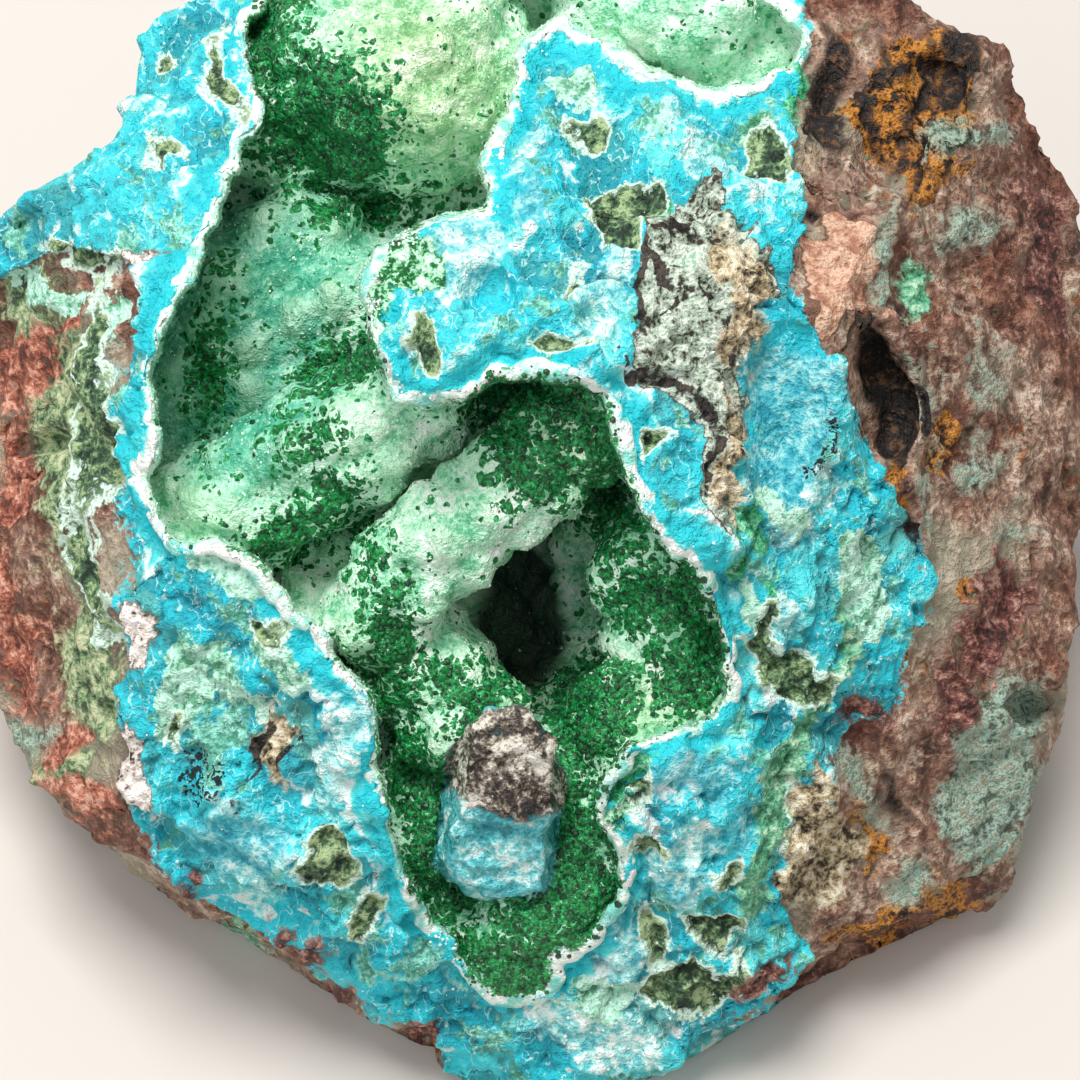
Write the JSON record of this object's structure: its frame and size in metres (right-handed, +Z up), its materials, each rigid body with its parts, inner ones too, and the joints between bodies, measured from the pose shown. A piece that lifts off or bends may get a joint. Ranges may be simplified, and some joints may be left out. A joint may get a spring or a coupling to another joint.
{
  "type": "hemimorphite and malachite mineral specimen",
  "caption": "Fist-sized rock with broken blue hemimorphite round a deep hollow lined with green and white crystals, in brown host rock.",
  "frame": {"origin": "centre of the bounding box at its bottom, on the flat base", "axes": "+X to the right across the broken face, +Y towards its upper edge, +Z up from the base"},
  "size_m": [0.1012, 0.0876, 0.0576],
  "materials": {
    "rock": "matte",
    "crystal_crust": "satin"
  },
  "bodies": {
    "root": {"rock": "rock", "crystal_crust": "crystal_crust"}
  },
  "joints": []
}
